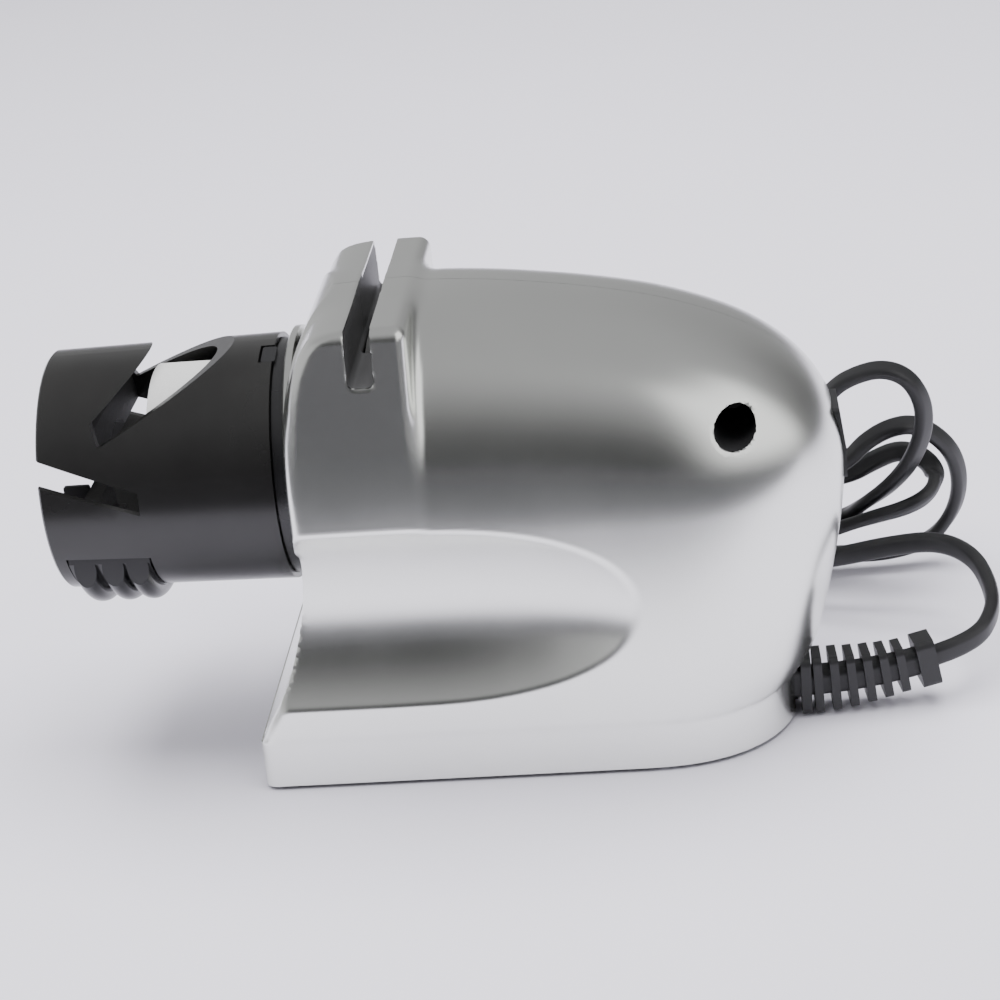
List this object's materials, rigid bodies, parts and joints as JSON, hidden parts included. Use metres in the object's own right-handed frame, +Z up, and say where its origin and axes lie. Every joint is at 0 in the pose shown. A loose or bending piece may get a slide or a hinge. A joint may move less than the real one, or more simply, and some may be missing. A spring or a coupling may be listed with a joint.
{
  "type": "electric knife sharpener",
  "caption": "Electric sharpener: parted housing with a knife slot over one wheel, a turning guide collar over the nose wheel, motor, rocker switch and mains cord.",
  "frame": {"origin": "on the floor, under the middle of the machine without its cord", "axes": "+X along the wheel axis from the guide collar towards the cord, +Y across the housing away from the screw hole, +Z up"},
  "size_m": [0.2159, 0.116, 0.1075],
  "materials": {
    "silver_paint": "satin silver metallic paint over moulded plastic",
    "black_gloss": "glossy black moulded plastic",
    "black_matte": "matte black moulded plastic",
    "rocker_black": "black moulded rocker",
    "rubber_foot": "soft black rubber",
    "cord_rubber": "black flexible PVC with moulded ribs",
    "cord_jacket": "black flat PVC jacket, slightly glossy",
    "tie_black": "black coated tie",
    "nickel": "nickel plate",
    "steel": "zinc-plated steel",
    "armature_steel": "dark laminated steel and ferrite",
    "copper": "copper and sintered bronze",
    "carbon": "dark carbon and moulded epoxy",
    "stone_light": "light bonded abrasive",
    "stone_fine": "fine fired abrasive",
    "board_green": "laminate circuit board",
    "capacitor_yellow": "moulded box",
    "wire_brown": "PVC insulation"
  },
  "bodies": {
    "housing": {"housing_left": "silver_paint", "housing_right": "silver_paint", "front_panel": "silver_paint", "housing_screw": "steel", "base_plate": "black_matte", "base_screws": "steel", "rubber_feet": "rubber_foot", "nose_sleeve": "silver_paint", "front_bushing": "copper", "motor_case": "steel", "motor_front_cap": "steel", "motor_rear_cap": "steel", "motor_bushings": "copper", "motor_magnets": "armature_steel", "motor_screws": "steel", "brush_holders": "copper", "brushes": "carbon", "rectifier_board": "board_green", "board_screws": "steel", "diodes": "carbon", "capacitor": "capacitor_yellow", "switch_body": "black_matte", "switch_terminals": "nickel", "mains_leads": "wire_brown", "switch_leads": "wire_brown", "motor_leads": "wire_brown", "inner_cord": "cord_jacket", "strain_relief": "cord_rubber", "cord_clamp": "black_matte", "cord_clamp_screws": "steel", "cord": "cord_jacket", "cord_hank": "cord_jacket", "cord_tie": "tie_black", "cord_tail": "cord_jacket", "plug_body": "cord_jacket", "plug_pins": "nickel"},
    "rotor": {"motor_shaft": "steel", "front_wheel": "stone_light", "slot_wheel": "stone_fine", "wheel_spacers": "steel", "wheel_washers": "steel", "wheel_nut": "steel", "fan": "black_matte", "armature": "armature_steel", "commutator": "copper"},
    "index_ring": {"index_ring": "black_gloss"},
    "collar": {"guide_collar": "black_gloss", "latch_spring": "steel"},
    "latch": {"latch_button": "black_gloss"},
    "rocker": {"switch_rocker": "rocker_black"}
  },
  "joints": [
    {"name": "rotor_spin", "type": "hinge", "parent": "housing", "child": "rotor", "pos_m": [0, 0, 0.067], "axis": [1, 0, 0], "continuous": true},
    {"name": "ring_turn", "type": "hinge", "parent": "housing", "child": "index_ring", "pos_m": [0, 0, 0.067], "axis": [1, 0, 0], "range_deg": [-90, 90]},
    {"name": "collar_slide", "type": "slide", "parent": "index_ring", "child": "collar", "axis": [-1, 0, 0], "range_m": [0, 0.06]},
    {"name": "latch_press", "type": "slide", "parent": "collar", "child": "latch", "axis": [0, 0, 1], "range_m": [0, 0.0015], "stiffness_N_per_m": 300, "springref_m": -0.002, "deforming": ["latch_spring"]},
    {"name": "rocker_tip", "type": "hinge", "parent": "housing", "child": "rocker", "pos_m": [0.086, 0, 0.064], "axis": [0, 1, 0], "range_deg": [0, 14]}
  ]
}
